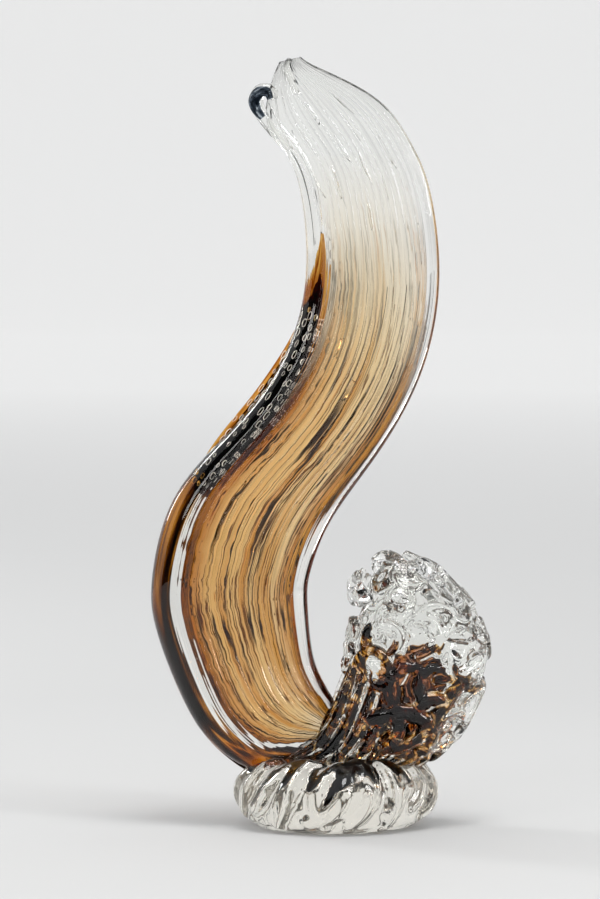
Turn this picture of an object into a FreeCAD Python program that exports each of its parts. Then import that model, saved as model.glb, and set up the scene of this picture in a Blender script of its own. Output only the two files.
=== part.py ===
"""Hot-worked glass wave sculpture: a clear foot, a cased amber wave and a splash of tooled curls.

Millimetres and degrees. +Z is up, +X is to the right as the fluted face is seen from the front (from -Y).
The origin is the middle of the foot's flat underside, on the surface that the sculpture stands on.
"""

import FreeCAD, Part
import math
import os

from FreeCAD import Placement, Rotation, Vector

# Driving dimensions, each written once.
SIZES = {
    "wave_height": 466.0,
    "wave_span": 188.0,
    "wave_thickness": 46.0,
    "flute_depth": 2.0,
    "flute_count": 8,
    "tip_lean": 14.0,
    "casing_wall": 5.0,
    "cane_cover": 2.5,
    "bubble_cane_radius": 8.5,
    "rim_cane_radius": 5.0,
    "foot_radius": 66.0,
    "foot_height": 43.0,
    "saddle_depth": 10.0,
    "foot_lobe_depth": 8.0,
    "foot_lobe_count": 8,
    "foot_swirl": 26.0,
    "splash_width": 92.0,
    "splash_depth": 76.0,
    "splash_height": 145.0,
    "splash_offset": 51.0,
    "splash_lobe_depth": 6.0,
    "splash_lobe_count": 7,
    "splash_swirl": 34.0,
    "heart_wall": 10.0,
    "curl_bend": 8.5,
    "curl_thickness": 8.0,
    "curl_turn": 250.0,
    "bead_length": 20.0,
    "bead_thickness": 12.0,
    "tip_curl_bend": 5.0,
    "tip_curl_thickness": 6.5,
    "tip_curl_turn": 260.0,
}

# The wave's outline, station by station from the foot to the tip: the outer edge's x and z and the inner edge's
# x and z, as shares of the wave's span and height, the thickness as a share of its thickest, and how deep the
# flutes are there, as a share of the flute depth.
WAVE_SHARES = (
    (0.020, 0.010, 0.072, 0.060, 0.52, 0.0),
    (-0.059, 0.006, 0.034, 0.075, 0.80, 0.0),
    (-0.172, 0.000, 0.000, 0.101, 0.92, 0.4),
    (-0.293, 0.007, -0.031, 0.122, 1.00, 1.0),
    (-0.403, 0.035, -0.062, 0.147, 1.00, 1.0),
    (-0.500, 0.081, -0.083, 0.176, 1.00, 1.0),
    (-0.624, 0.205, -0.097, 0.247, 1.00, 1.0),
    (-0.638, 0.271, -0.090, 0.280, 1.00, 1.0),
    (-0.562, 0.393, -0.017, 0.358, 0.98, 1.0),
    (-0.345, 0.487, 0.148, 0.447, 0.94, 1.0),
    (-0.176, 0.580, 0.300, 0.558, 0.82, 1.0),
    (-0.097, 0.691, 0.362, 0.687, 0.66, 1.0),
    (-0.121, 0.819, 0.324, 0.819, 0.52, 0.9),
    (-0.176, 0.870, 0.262, 0.877, 0.46, 0.9),
    (-0.238, 0.905, 0.176, 0.930, 0.41, 0.8),
    (-0.238, 0.934, 0.052, 0.963, 0.35, 0.7),
    (-0.217, 0.969, -0.086, 0.988, 0.26, 0.4),
    (-0.193, 0.991, -0.120, 0.998, 0.14, 0.0),
)

# Half of a section of the wave, from the thick outer rim to the thin inner edge: the place across the width as
# a share of the width, and the depth as a share of the thickness. The front has flutes between the rim and the
# inner edge, where the back is smooth.
RIM_SHARES = ((0.000, 0.09), (0.025, 0.25), (0.085, 0.39), (0.170, 0.47))
BACK_SHARES = ((0.32, 0.50), (0.50, 0.47), (0.72, 0.36))
EDGE_SHARES = ((0.920, 0.21), (0.975, 0.12), (1.000, 0.04))

# The amber core, cased inside the wave: the station it belongs to, its two edges as shares of the wave's width
# there, and its depth as a share of what the casing's wall leaves.
CORE_SHARES = (
    (2, 0.56, 0.80, 0.30),
    (3, 0.42, 0.86, 0.75),
    (4, 0.31, 0.88, 0.90),
    (5, 0.22, 0.885, 0.95),
    (6, 0.16, 0.89, 0.95),
    (7, 0.16, 0.895, 0.95),
    (8, 0.16, 0.92, 0.95),
    (9, 0.21, 0.93, 0.90),
    (10, 0.21, 0.91, 0.85),
    (11, 0.18, 0.89, 0.70),
    (12, 0.15, 0.86, 0.50),
    (13, 0.15, 0.83, 0.35),
)
CORE_SECTION_SHARES = ((0.00, 0.24), (0.16, 0.84), (0.50, 1.00), (0.84, 0.80), (1.00, 0.20))

# The canes drawn into the casing: the station, counted in parts of the way to the next one, how much deeper than
# its cover the cane lies, as a share of the wave's width, and the radius as a share of the cane's own.
BUBBLE_CANE_SHARES = (
    (11.40, 0.120, 0.12),
    (11.10, 0.085, 0.38),
    (10.70, 0.060, 0.55),
    (10.30, 0.030, 0.70),
    (9.80, 0.010, 0.84),
    (9.30, 0.010, 0.96),
    (8.80, 0.030, 1.00),
    (8.35, 0.060, 0.86),
    (8.05, 0.110, 0.36),
)
RIM_CANE_SHARES = (
    (8.10, 0.020, 0.30),
    (7.80, 0.005, 0.66),
    (7.30, 0.000, 0.86),
    (6.70, 0.000, 0.92),
    (6.20, 0.000, 0.96),
    (5.60, 0.000, 1.00),
    (5.00, 0.000, 1.00),
    (4.40, 0.005, 1.00),
    (3.80, 0.010, 1.00),
    (3.10, 0.015, 1.00),
    (2.40, 0.030, 0.96),
    (1.70, 0.070, 0.70),
    (1.30, 0.130, 0.30),
)

# The foot, from its underside up: its height and its girth, as shares of its greatest, and how deep its lobes are
# there, as a share of the lobe depth.
FOOT_SHARES = (
    (0.00, 0.82, 0.20),
    (0.12, 0.93, 0.60),
    (0.36, 1.00, 1.00),
    (0.64, 0.99, 1.00),
    (0.84, 0.90, 0.90),
    (0.95, 0.79, 0.70),
    (1.00, 0.64, 0.30),
)

# The splash, from its underside up: the height as a share of its own, the shift of its middle as a share of its
# width, then its width and its depth there as shares of its greatest.
SPLASH_SHARES = (
    (0.00, -0.38, 0.60, 0.56),
    (0.08, -0.28, 0.84, 0.76),
    (0.18, -0.17, 0.95, 0.91),
    (0.32, -0.07, 0.98, 0.98),
    (0.47, 0.00, 0.98, 1.00),
    (0.62, 0.02, 0.94, 0.96),
    (0.75, -0.01, 0.85, 0.88),
    (0.86, -0.08, 0.70, 0.76),
    (0.94, -0.13, 0.50, 0.57),
    (1.00, -0.16, 0.22, 0.26),
)

# The amber heart of the splash: the height, as a share of the splash's, and its girth, as a share of what the
# heart's wall leaves.
HEART_SHARES = ((0.12, 0.50), (0.20, 0.84), (0.34, 1.00), (0.50, 0.96), (0.62, 0.70), (0.68, 0.34))

# Tooled curls of the splash: the direction from its middle, where -90 is the front, the height as a share of
# the splash's, the roll about the way it faces, in degrees, and the size as a share of the curl's own.
CROWN_CURL_SHARES = ((-100.0, 0.86, 20.0, 1.00), (42.0, 0.86, 215.0, 1.00), (95.0, 0.85, 60.0, 1.10))
FRONT_CURL_SHARES = (
    (-133.0, 0.72, 250.0, 0.95),
    (-115.0, 0.44, 60.0, 1.10),
    (-78.0, 0.50, 205.0, 1.40),
    (-62.0, 0.72, 110.0, 1.00),
    (-84.0, 0.18, 20.0, 1.15),
    (-46.0, 0.26, 150.0, 1.10),
)
BACK_CURL_SHARES = (
    (132.0, 0.62, 30.0, 1.10),
    (84.0, 0.50, 250.0, 1.35),
    (48.0, 0.66, 120.0, 1.05),
    (70.0, 0.22, 190.0, 1.15),
)

# Drops of glass on the splash's outer side, in the same form: direction, height, tilt and size.
BEAD_SHARES = (
    (-14.0, 0.80, 35.0, 1.00),
    (-8.0, 0.62, -60.0, 0.85),
    (-18.0, 0.42, 75.0, 1.10),
    (12.0, 0.52, 20.0, 1.00),
    (-6.0, 0.24, 50.0, 0.90),
)

# The tip's dark curl: the station it sits at, and its roll in degrees.
TIP_CURL_STATION_SHARE = 14.8
TIP_CURL_ROLL = 150.0

# A curl winds inwards: how far from its middle and how thick it is, from its head to its tail, as shares of its
# bend and of its thickness.
CURL_WIND_SHARES = (
    (1.14, 0.34),
    (1.12, 0.76),
    (1.08, 0.98),
    (1.02, 1.00),
    (0.95, 1.00),
    (0.86, 0.96),
    (0.76, 0.88),
    (0.64, 0.74),
    (0.52, 0.50),
)

# A drop of glass, from end to end: the place along it and its girth, as shares of its length and thickness.
BEAD_GIRTH_SHARES = ((0.00, 0.30), (0.18, 0.80), (0.45, 1.00), (0.78, 0.78), (1.00, 0.30))

TUBE_SIDES = 8
HEART_SIDES = 14
POINTS_PER_LOBE = 5
STEPS_PER_ROW = 2
SURFACE_STEP_SHARE = 0.02
HALF = 0.5
FULL_TURN = 2.0 * math.pi


def add_sizes(document):
    """Write the driving dimensions into a spreadsheet, one alias each, and return the sheet."""
    sheet = document.addObject("Spreadsheet::Sheet", "Sizes")
    for row, (name, value) in enumerate(SIZES.items(), start=1):
        sheet.set(f"A{row}", name)
        sheet.set(f"B{row}", str(value))
        sheet.setAlias(f"B{row}", name)
    document.recompute()
    return sheet


def between(rows, position):
    """A row of values part of the way between two rows, on a smooth curve through all the rows."""
    low = min(int(position), len(rows) - 2)
    t = position - low
    before, after = rows[max(low - 1, 0)], rows[min(low + 2, len(rows) - 1)]
    blended = []
    for a, b, c, d in zip(before, rows[low], rows[low + 1], after):
        blended.append(b + HALF * t * (c - a + t * (2 * a - 5 * b + 4 * c - d + t * (3 * b - 3 * c + d - a))))
    return blended


def stepped(rows):
    """The rows, with smoothly blended ones set between them."""
    steps = STEPS_PER_ROW * (len(rows) - 1)
    return [between(rows, step / STEPS_PER_ROW) for step in range(steps + 1)]


def look_up(pairs, place):
    """The second value of a list of pairs at a place along the first, by linear blending."""
    for (low, start), (high, end) in zip(pairs, pairs[1:]):
        if place <= high:
            return start + (end - start) * (place - low) / (high - low)
    return pairs[-1][1]


def lobed_ring(centre, half_x, half_y, lobe_depth, lobe_count, turn):
    """Points of a level ring round a centre, with lobes of the given depth from crest to valley."""
    steps = POINTS_PER_LOBE * lobe_count
    points = []
    for step in range(steps):
        angle = FULL_TURN * step / steps
        ripple = HALF * lobe_depth * math.cos(lobe_count * angle - math.radians(turn))
        points.append(centre + Vector((half_x + ripple) * math.cos(angle), (half_y + ripple) * math.sin(angle), 0))
    return points


def plain_ring(centre, half_x, half_y, sides):
    """Points of a level oval round a centre."""
    angles = [FULL_TURN * side / sides for side in range(sides)]
    return [centre + Vector(half_x * math.cos(angle), half_y * math.sin(angle), 0) for angle in angles]


class Wave:
    """The wave's middle plane and sections, with its sizes read from the sheet."""

    def __init__(self, sheet):
        self.span = float(sheet.wave_span)
        self.height = float(sheet.wave_height)
        self.thickness = float(sheet.wave_thickness)
        self.seat = float(sheet.foot_height) - float(sheet.saddle_depth)
        self.lean = float(sheet.tip_lean)
        self.flute_depth = float(sheet.flute_depth)
        self.flute_count = int(sheet.flute_count)
        self.wall = float(sheet.casing_wall)
        self.cover = float(sheet.cane_cover)

    def place(self, x_share, z_share):
        """A point of the middle plane, which leans forwards towards the tip."""
        return Vector(x_share * self.span, -self.lean * z_share ** 3, self.seat + z_share * self.height)

    def station(self, position):
        """The outer edge, the way across, and the thickness and flute depth at a station."""
        row = between(WAVE_SHARES, position)
        outer = self.place(row[0], row[1])
        across = self.place(row[2], row[3]) - outer
        return outer, across, row[4] * self.thickness, row[5] * self.flute_depth

    def half_depth_share(self, place):
        """Half the section's depth at a place across it, as a share of the thickness."""
        return look_up(RIM_SHARES + BACK_SHARES + EDGE_SHARES, place)

    def fluted_shares(self):
        """Places across the front between the rim and the inner edge, and whether each is a valley."""
        low, high = RIM_SHARES[-1][0], EDGE_SHARES[0][0]
        steps = 2 * self.flute_count
        return [(low + (high - low) * step / steps, step % 2) for step in range(1, steps)]

    def section(self, position):
        """The corners of the outline at a station: fluted in front, smooth behind."""
        outer, across, thickness, flute = self.station(position)
        front = [outer + across * u - Vector(0, v * thickness, 0) for u, v in RIM_SHARES]
        for u, valley in self.fluted_shares():
            depth = self.half_depth_share(u) * thickness - flute * valley
            front.append(outer + across * u - Vector(0, depth, 0))
        front += [outer + across * u - Vector(0, v * thickness, 0) for u, v in EDGE_SHARES]
        back_shares = RIM_SHARES + BACK_SHARES + EDGE_SHARES
        back = [outer + across * u + Vector(0, v * thickness, 0) for u, v in reversed(back_shares)]
        return front + back

    def core_section(self, row):
        """The corners of the core's outline at a station, a casing's wall inside the wave's."""
        position, low, high, fullness = row
        outer, across, thickness, _ = self.station(position)
        sunk = self.flute_depth + self.wall
        front = []
        back = []
        for place, bulge in CORE_SECTION_SHARES:
            u = low + (high - low) * place
            room = (self.half_depth_share(u) - sunk / self.thickness) * thickness
            depth = Vector(0, bulge * fullness * room, 0)
            front.append(outer + across * u - depth)
            back.append(outer + across * u + depth)
        return front + back[::-1]

    def cane_centre(self, position, deeper, radius):
        """The middle of a cane that lies under the outer edge at a station."""
        outer, across, _, _ = self.station(position)
        return outer + across * ((self.cover + radius) / across.Length + deeper)


class Splash:
    """The splash's level sections and surface, with its sizes read from the sheet."""

    def __init__(self, sheet):
        self.base = float(sheet.foot_height) - float(sheet.saddle_depth)
        self.width = float(sheet.splash_width)
        self.depth = float(sheet.splash_depth)
        self.height = float(sheet.splash_height)
        self.offset = float(sheet.splash_offset)
        self.lobe_depth = float(sheet.splash_lobe_depth)
        self.lobe_count = int(sheet.splash_lobe_count)
        self.swirl = float(sheet.splash_swirl)
        self.heart_wall = float(sheet.heart_wall)

    def level(self, height_share):
        """The middle and the two half widths at a height."""
        heights = [row[0] for row in SPLASH_SHARES]
        shift, width_share, depth_share = (
            look_up(list(zip(heights, [row[column] for row in SPLASH_SHARES])), height_share)
            for column in (1, 2, 3)
        )
        centre = Vector(self.offset + shift * self.width, 0, self.base + height_share * self.height)
        return centre, HALF * width_share * self.width, HALF * depth_share * self.depth

    def body_rings(self):
        """Lobed rings from the underside up, each turned a little past the one below."""
        rings = []
        for index, (height_share, _, width_share, _) in enumerate(SPLASH_SHARES):
            centre, half_x, half_y = self.level(height_share)
            lobe = self.lobe_depth * width_share
            rings.append(lobed_ring(centre, half_x, half_y, lobe, self.lobe_count, index * self.swirl))
        return rings

    def heart_rings(self):
        """Plain rings of the heart, a wall inside the splash's."""
        rings = []
        for height_share, girth in HEART_SHARES:
            centre, half_x, half_y = self.level(height_share)
            half_x = (half_x - self.heart_wall) * girth
            half_y = (half_y - self.heart_wall) * girth
            rings.append(plain_ring(centre, half_x, half_y, HEART_SIDES))
        return rings

    def crest_point(self, direction, height_share):
        """A point of the surface that the crests of the lobes reach."""
        centre, half_x, half_y = self.level(height_share)
        angle = math.radians(direction)
        crest = HALF * self.lobe_depth
        return centre + Vector((half_x + crest) * math.cos(angle), (half_y + crest) * math.sin(angle), 0)

    def surface_placement(self, direction, height_share, roll):
        """A placement on that surface whose own Z axis faces straight out of it, rolled about that axis."""
        below, above = height_share - SURFACE_STEP_SHARE, height_share + SURFACE_STEP_SHARE
        up = self.crest_point(direction, above) - self.crest_point(direction, below)
        aside = Vector(0, 0, 1).cross(self.crest_point(direction, height_share) - self.level(height_share)[0])
        facing = Rotation(Vector(0, 0, 1), aside.cross(up)) * Rotation(Vector(0, 0, 1), roll)
        return Placement(self.crest_point(direction, height_share), facing)


def add_loft(document, name, rings):
    """A solid drawn smoothly from end to end through rings of corners."""
    sections = []
    for index, corners in enumerate(rings):
        section = document.addObject("Part::Polygon", f"{name}_section_{index}")
        section.Nodes = corners
        section.Close = True
        sections.append(section)
    loft = document.addObject("Part::Loft", name)
    loft.Sections = sections
    loft.Solid = True
    return loft


def add_facets(document, name, rings):
    """A solid with tooled flats: each ring of corners joined to the next by flat facets, and both ends closed."""
    facets = [Part.Face(Part.makePolygon(ring + ring[:1])) for ring in (rings[0], rings[-1])]
    for low, high in zip(rings, rings[1:]):
        for corner, start in enumerate(low):
            before = corner - 1
            for outline in ((low[before], start, high[corner]), (low[before], high[corner], high[before])):
                facets.append(Part.Face(Part.makePolygon(outline + outline[:1])))
    piece = document.addObject("Part::Feature", name)
    piece.Shape = Part.Solid(Part.Shell(facets))
    return piece


def tube_ring(placement, radius):
    """Corners of a tube's section, level in the placement's own frame."""
    return [placement.multVec(corner) for corner in plain_ring(Vector(), radius, radius, TUBE_SIDES)]


def add_fuse(document, name, pieces):
    """The pieces melted into one."""
    fuse = document.addObject("Part::MultiFuse", name)
    fuse.Shapes = pieces
    fuse.Refine = False
    return fuse


def add_cut(document, name, base, tool):
    """The base less the tool."""
    cut = document.addObject("Part::Cut", name)
    cut.Base = base
    cut.Tool = tool
    cut.Refine = False
    return cut


def add_stretch(document, name, wave_outer, low, high):
    """The stretch of the wave between two heights, for what is worked against it there."""
    block = document.addObject("Part::Box", f"{name}_block")
    block.setExpression("Length", "Sizes.wave_span * 2")
    block.setExpression("Width", "Sizes.wave_thickness * 2")
    block.setExpression("Height", f"({high}) - ({low})")
    block.setExpression("Placement.Base.z", low)
    block.setExpression("Placement.Base.x", "-Sizes.wave_span")
    block.setExpression("Placement.Base.y", "-Sizes.wave_thickness")
    stretch = document.addObject("Part::Common", name)
    stretch.Base = wave_outer
    stretch.Tool = block
    stretch.Refine = False
    return stretch


def add_casing(document, wave_outer, colour):
    """The clear casing: the wave's skin, with the skins of the colour sealed inside it as hollows."""
    document.recompute()
    skins = wave_outer.Shape.Shells + [skin.reversed() for skin in colour.Shape.Shells]
    casing = document.addObject("Part::Feature", "wave_casing")
    casing.Shape = Part.makeSolid(Part.Compound(skins))
    return casing


def add_cane(document, wave, name, rows, radius):
    """A tapering cane that follows the wave's outer edge, a cover's depth inside it."""
    rows = stepped(rows)
    centres = [wave.cane_centre(position, deeper, radius * taper) for position, deeper, taper in rows]
    rings = []
    for index, (_, _, taper) in enumerate(rows):
        before = centres[max(index - 1, 0)]
        after = centres[min(index + 1, len(centres) - 1)]
        facing = Rotation(Vector(0, 1, 0), Vector(), after - before, "ZXY")
        rings.append(tube_ring(Placement(centres[index], facing), radius * taper))
    return add_facets(document, name, rings)


def add_foot_outer(document, sheet):
    """The puddled foot with its swirled lobes, before the wave and the splash are pressed into it."""
    rings = []
    for index, (height_share, girth, lobe_share) in enumerate(FOOT_SHARES):
        centre = Vector(0, 0, height_share * float(sheet.foot_height))
        half = girth * float(sheet.foot_radius)
        lobe = lobe_share * float(sheet.foot_lobe_depth)
        turn = index * float(sheet.foot_swirl)
        rings.append(lobed_ring(centre, half, half, lobe, int(sheet.foot_lobe_count), turn))
    return add_facets(document, "foot_outer", rings)


def add_curl(document, name, placement, bend, thickness, turn):
    """A tooled curl: a tube wound inwards in its own level plane, thin at its head and its tail."""
    rings = []
    for index, (reach, girth) in enumerate(CURL_WIND_SHARES):
        spin = Rotation(Vector(0, 0, 1), turn * index / (len(CURL_WIND_SHARES) - 1))
        outwards = spin.multVec(Vector(1, 0, 0))
        facing = Rotation(outwards, Vector(), spin.multVec(Vector(0, 1, 0)), "ZXY")
        stop = placement.multiply(Placement(outwards * (bend * reach), facing))
        rings.append(tube_ring(stop, HALF * thickness * girth))
    return add_facets(document, name, rings)


def add_bead(document, name, placement, length, thickness):
    """A drop of glass that lies along its own X axis."""
    facing = Rotation(Vector(0, 0, 1), Vector(), Vector(1, 0, 0), "ZXY")
    rings = []
    for along, girth in BEAD_GIRTH_SHARES:
        stop = placement.multiply(Placement(Vector((along - HALF) * length, 0, 0), facing))
        rings.append(tube_ring(stop, HALF * thickness * girth))
    return add_facets(document, name, rings)


def add_seated_group(document, name, pieces, carrier):
    """A group of separate pieces, let into what carries them."""
    group = document.addObject("Part::Compound", f"{name}_whole")
    group.Links = pieces
    return add_cut(document, name, group, carrier)


def add_curls(document, splash, sheet, name, rows, carrier):
    """A group of curls round the splash."""
    curls = []
    for index, (direction, height_share, roll, size) in enumerate(rows):
        placement = splash.surface_placement(direction, height_share, roll)
        bend = float(sheet.curl_bend) * size
        thickness = float(sheet.curl_thickness) * size
        curls.append(add_curl(document, f"{name}_{index}", placement, bend, thickness, float(sheet.curl_turn)))
    return add_seated_group(document, name, curls, carrier)


def add_beads(document, splash, sheet, name, rows, carrier):
    """Drops of glass on the splash's outer side."""
    beads = []
    for index, (direction, height_share, tilt, size) in enumerate(rows):
        placement = splash.surface_placement(direction, height_share, tilt)
        length = float(sheet.bead_length) * size
        thickness = float(sheet.bead_thickness) * size
        beads.append(add_bead(document, f"{name}_{index}", placement, length, thickness))
    return add_seated_group(document, name, beads, carrier)


def add_tip_curl(document, wave, sheet, outer):
    """The dark curled bead at the left of the tip, seated on the wave's edge."""
    edge, across, _, _ = wave.station(TIP_CURL_STATION_SHARE)
    bend = float(sheet.tip_curl_bend)
    facing = Rotation(Vector(0, 0, 1), Vector(0, -1, 0)) * Rotation(Vector(0, 0, 1), TIP_CURL_ROLL)
    placement = Placement(edge - across * (bend / across.Length), facing)
    thickness = float(sheet.tip_curl_thickness)
    curl = add_curl(document, "tip_curl_whole", placement, bend, thickness, float(sheet.tip_curl_turn))
    return add_cut(document, "tip_curl", curl, outer)


def build_parts(document, sheet):
    """Every sub-part of the sculpture."""
    wave = Wave(sheet)
    splash = Splash(sheet)
    wave_outer = add_loft(document, "wave_outer", [wave.section(row) for row in range(len(WAVE_SHARES))])
    splash_top = "Sizes.foot_height + Sizes.splash_height"
    wave_root = add_stretch(document, "wave_root", wave_outer, "0", splash_top)
    tip_low = "Sizes.wave_height - Sizes.wave_thickness"
    wave_tip = add_stretch(document, "wave_tip", wave_outer, tip_low, "Sizes.wave_height * 2")
    core_outer = add_facets(document, "core_outer", [wave.core_section(row) for row in CORE_SHARES])
    bubble_cane = add_cane(document, wave, "bubble_cane", BUBBLE_CANE_SHARES, float(sheet.bubble_cane_radius))
    rim_cane = add_cane(document, wave, "rim_cane", RIM_CANE_SHARES, float(sheet.rim_cane_radius))
    splash_outer = add_facets(document, "splash_outer", splash.body_rings())
    heart_outer = add_facets(document, "heart_outer", splash.heart_rings())
    foot_outer = add_foot_outer(document, sheet)

    canes = add_fuse(document, "canes", [bubble_cane, rim_cane])
    colour = add_fuse(document, "colour", [core_outer, bubble_cane, rim_cane])
    carrier = add_fuse(document, "carrier", [splash_outer, foot_outer])
    foot_under_splash = add_cut(document, "foot_under_splash", foot_outer, splash_outer)
    splash_round_heart = add_cut(document, "splash_round_heart", splash_outer, heart_outer)
    return [
        add_cut(document, "foot", foot_under_splash, wave_root),
        add_casing(document, wave_outer, colour),
        add_cut(document, "amber_core", core_outer, canes),
        bubble_cane,
        rim_cane,
        add_tip_curl(document, wave, sheet, wave_tip),
        add_cut(document, "splash_body", splash_round_heart, wave_root),
        add_cut(document, "splash_heart", heart_outer, wave_root),
        add_curls(document, splash, sheet, "crown_curls", CROWN_CURL_SHARES, carrier),
        add_curls(document, splash, sheet, "front_curls", FRONT_CURL_SHARES, carrier),
        add_curls(document, splash, sheet, "back_curls", BACK_CURL_SHARES, carrier),
        add_beads(document, splash, sheet, "side_beads", BEAD_SHARES, carrier),
    ]


def check(document, parts):
    """Stop if any object failed, or if a sub-part has no valid shape."""
    for item in document.Objects:
        if "Invalid" in item.State or "Error" in item.State:
            raise RuntimeError(f"{item.Name} failed: {item.State}")
    for part in parts:
        if part.Shape.isNull() or not part.Shape.isValid():
            raise RuntimeError(f"{part.Label} has no valid shape")


def export(parts):
    """Write each sub-part to its own STEP file."""
    os.makedirs("parts", exist_ok=True)
    for part in parts:
        part.Shape.exportStep(f"parts/{part.Label}.step")
        box = part.Shape.BoundBox
        print(f"{part.Label}: {len(part.Shape.Solids)} solids, {part.Shape.Volume / 1000:.1f} cm3, "
              f"x {box.XMin:.1f} to {box.XMax:.1f}, y {box.YMin:.1f} to {box.YMax:.1f}, "
              f"z {box.ZMin:.1f} to {box.ZMax:.1f}")


def main():
    """Build, check and write the sculpture."""
    document = FreeCAD.newDocument("glass_wave_sculpture")
    parts = build_parts(document, add_sizes(document))
    document.recompute()
    check(document, parts)
    export(parts)


main()
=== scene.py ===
"""The looks of a hot-worked glass wave sculpture: clear and amber cased glass on a puddled foot.

Metres, in the frame of the solids: +Z is up, the fluted face looks towards -Y, and the origin lies under the
middle of the foot, on the floor.
"""

import logging
import math
import random
from dataclasses import dataclass
from enum import Enum
from typing import Callable, Sequence

import bpy
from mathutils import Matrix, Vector, noise


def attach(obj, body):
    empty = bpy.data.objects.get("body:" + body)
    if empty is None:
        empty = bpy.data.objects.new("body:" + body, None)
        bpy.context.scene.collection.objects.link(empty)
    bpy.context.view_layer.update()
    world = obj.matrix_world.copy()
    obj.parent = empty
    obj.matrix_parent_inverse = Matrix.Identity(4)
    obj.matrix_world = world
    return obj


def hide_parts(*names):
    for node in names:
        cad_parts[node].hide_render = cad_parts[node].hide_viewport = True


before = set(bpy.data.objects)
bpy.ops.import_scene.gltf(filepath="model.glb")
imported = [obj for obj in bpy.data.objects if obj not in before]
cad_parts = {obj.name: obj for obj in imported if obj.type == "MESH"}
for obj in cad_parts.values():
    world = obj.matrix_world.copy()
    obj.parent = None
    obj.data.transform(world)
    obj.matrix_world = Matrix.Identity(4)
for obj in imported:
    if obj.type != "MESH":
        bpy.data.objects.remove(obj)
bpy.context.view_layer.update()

MM = 0.001
BODY = "root"
WELD = 0.002 * MM
HALF = 0.5
FULL_TURN = 2.0 * math.pi
log = logging.getLogger("glass_wave")

Row = Sequence[float]
Place = Callable[[float, float], Vector]
Piece = bpy.types.Object
Tree = bpy.types.NodeTree
Node = bpy.types.Node
Socket = bpy.types.NodeSocket
Finish = bpy.types.Material
Stops = Sequence[tuple[float, str]]
FRONT = Vector((0.0, -1.0, 0.0))


class Slot(Enum):
    """The record's material slots."""

    CLEAR = "clear_glass"
    AMBER = "amber_glass"
    DARK = "dark_glass"
    SMOKE = "smoke_glass"


class Wind(Enum):
    """How a trailed thread of glass winds."""

    HOOK = "hook"
    SERPENT = "serpent"


def linear(hex_colour: str) -> tuple[float, float, float, float]:
    """Turn an sRGB hex colour, such as "#D9B36F", into linear light with an alpha of one."""
    levels = [int(hex_colour[i:i + 2], 16) / 255 for i in (1, 3, 5)]
    light = [c / 12.92 if c <= 0.04045 else ((c + 0.055) / 1.055) ** 2.4 for c in levels]
    return (*light, 1.0)


def blend_rows(rows: Sequence[Row], position: float) -> list[float]:
    """Blend rows of values smoothly.

    Args:
        rows: The rows, evenly spaced.
        position: How far along them, counted in rows.

    Returns:
        The row at that position, on a smooth curve through all of them.
    """
    low = min(max(int(position), 0), len(rows) - 2)
    t = position - low
    before, after = rows[max(low - 1, 0)], rows[min(low + 2, len(rows) - 1)]
    out = []
    for a, b, c, d in zip(before, rows[low], rows[low + 1], after):
        out.append(b + HALF * t * (c - a + t * (2 * a - 5 * b + 4 * c - d + t * (3 * b - 3 * c + d - a))))
    return out


def blend_spaced(rows: Sequence[Row], spans: Sequence[float], position: float) -> list[float]:
    """Blend rows that lie at uneven distances.

    Args:
        rows: The rows.
        spans: The distance from each row to the next.
        position: How far along them, counted in rows.

    Returns:
        The row at that position, on a curve whose bends don't gather at the rows.
    """
    low = min(max(int(position), 0), len(rows) - 2)
    t = position - low
    before, after = max(low - 1, 0), min(low + 2, len(rows) - 1)
    reach = spans[low]
    low_reach = reach + (spans[before] if before < low else 0.0)
    high_reach = reach + (spans[low + 1] if after > low + 1 else 0.0)
    out = []
    for a, b, c, d in zip(rows[before], rows[low], rows[low + 1], rows[after]):
        start, end = (c - a) / low_reach * reach, (d - b) / high_reach * reach
        out.append(b + t * (start + t * (3 * (c - b) - 2 * start - end + t * (2 * (b - c) + start + end))))
    return out


def blend_keyed(rows: Sequence[Row], key: float) -> list[float]:
    """Blend rows that each start with a rising key.

    Args:
        rows: The rows, with the key first.
        key: Where between the first and the last key to read them.

    Returns:
        The other values at that key.
    """
    key = min(max(key, rows[0][0]), rows[-1][0])
    for index in range(len(rows) - 1):
        low, high = rows[index][0], rows[index + 1][0]
        if key <= high:
            position = index + (key - low) / (high - low)
            return blend_rows([row[1:] for row in rows], position)
    return list(rows[-1][1:])


def ease(value: float, low: float, high: float) -> float:
    """A smooth step from 0 at low to 1 at high."""
    t = min(max((value - low) / (high - low), 0.0), 1.0)
    return t * t * (3.0 - 2.0 * t)


def start_piece() -> None:
    """Leave edit mode and deselect everything."""
    if bpy.context.mode != "OBJECT":
        bpy.ops.object.mode_set(mode="OBJECT")
    bpy.ops.object.select_all(action="DESELECT")


def finish_skin(inside: bool = False) -> None:
    """Weld the active piece, close it, face it outwards and shade it; an inside stays open and faces inwards."""
    bpy.ops.object.mode_set(mode="EDIT")
    bpy.ops.mesh.select_all(action="SELECT")
    bpy.ops.mesh.remove_doubles(threshold=WELD)
    if not inside:
        bpy.ops.mesh.fill_holes(sides=0)
        bpy.ops.mesh.select_all(action="SELECT")
    bpy.ops.mesh.normals_make_consistent(inside=inside)
    bpy.ops.object.mode_set(mode="OBJECT")
    bpy.ops.object.shade_smooth()


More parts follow.
